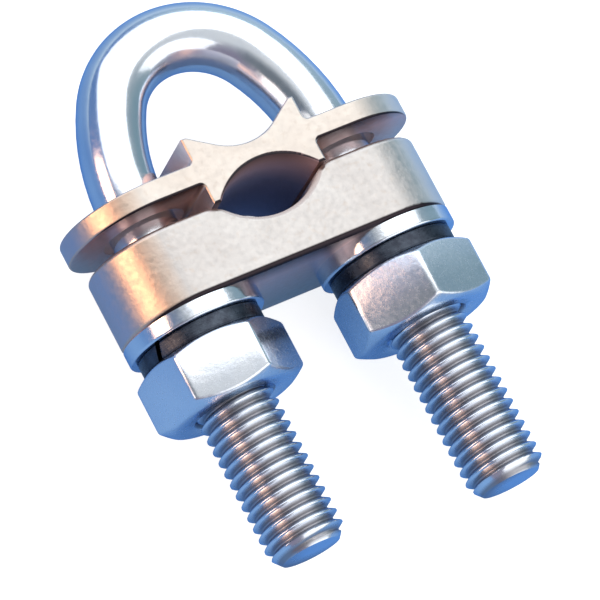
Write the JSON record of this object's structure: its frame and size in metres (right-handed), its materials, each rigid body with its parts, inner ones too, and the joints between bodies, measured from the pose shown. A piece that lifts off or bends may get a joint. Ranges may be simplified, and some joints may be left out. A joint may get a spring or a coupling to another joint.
{
  "type": "ground rod clamp",
  "caption": "Ground rod clamp: a U-bolt with threaded legs draws two cast saddles together, gripping a round rod and a conductor at right angles to the legs.",
  "frame": {"origin": "On the plane that the clamp lies on, midway between the legs and halfway along the longer leg", "axes": "+Z along the ground rod, +Y along the legs towards the bow, +X across the legs"},
  "size_m": [0.047, 0.072, 0.02],
  "materials": {
    "plated_steel": "bright plated steel, faintly blue, smooth on the bow and greyer in the thread",
    "dark_spring_steel": "plated spring steel, duller than the nuts",
    "cast_bronze": "pale cast bronze with a fine cast skin and a coppery warmth"
  },
  "bodies": {
    "u_bolt": {"u_bolt": "plated_steel"},
    "conductor_saddle": {"conductor_saddle": "cast_bronze"},
    "rod_saddle": {"rod_saddle": "cast_bronze"},
    "left_washers": {"left_flat_washer": "plated_steel", "left_lock_washer": "dark_spring_steel"},
    "left_nut": {"left_nut": "plated_steel"},
    "right_washers": {"right_flat_washer": "plated_steel", "right_lock_washer": "dark_spring_steel"},
    "right_nut": {"right_nut": "plated_steel"}
  },
  "joints": [
    {"name": "conductor_saddle_slide", "type": "slide", "parent": "u_bolt", "child": "conductor_saddle", "axis": [0, 1, 0], "range_m": [0, 0.0018]},
    {"name": "rod_saddle_slide", "type": "slide", "parent": "conductor_saddle", "child": "rod_saddle", "axis": [0, 1, 0], "range_m": [0, 0.0018]},
    {"name": "left_run", "type": "slide", "parent": "u_bolt", "child": "left_washers", "axis": [0, 1, 0], "range_m": [-0.0198, 0]},
    {"name": "left_nut_turn", "type": "hinge", "parent": "left_washers", "child": "left_nut", "pos_m": [-0.0135, -0.0102, 0.01], "axis": [0, 1, 0], "range_deg": [-4760, 10]},
    {"name": "right_run", "type": "slide", "parent": "u_bolt", "child": "right_washers", "axis": [0, 1, 0], "range_m": [-0.0218, 0]},
    {"name": "right_nut_turn", "type": "hinge", "parent": "right_washers", "child": "right_nut", "pos_m": [0.0135, -0.0102, 0.01], "axis": [0, 1, 0], "range_deg": [-5240, 10]}
  ],
  "couplings": [
    {"joint": "left_nut_turn", "follows": "left_run", "rad_per_m": 4188.8},
    {"joint": "right_nut_turn", "follows": "right_run", "rad_per_m": 4188.8}
  ]
}
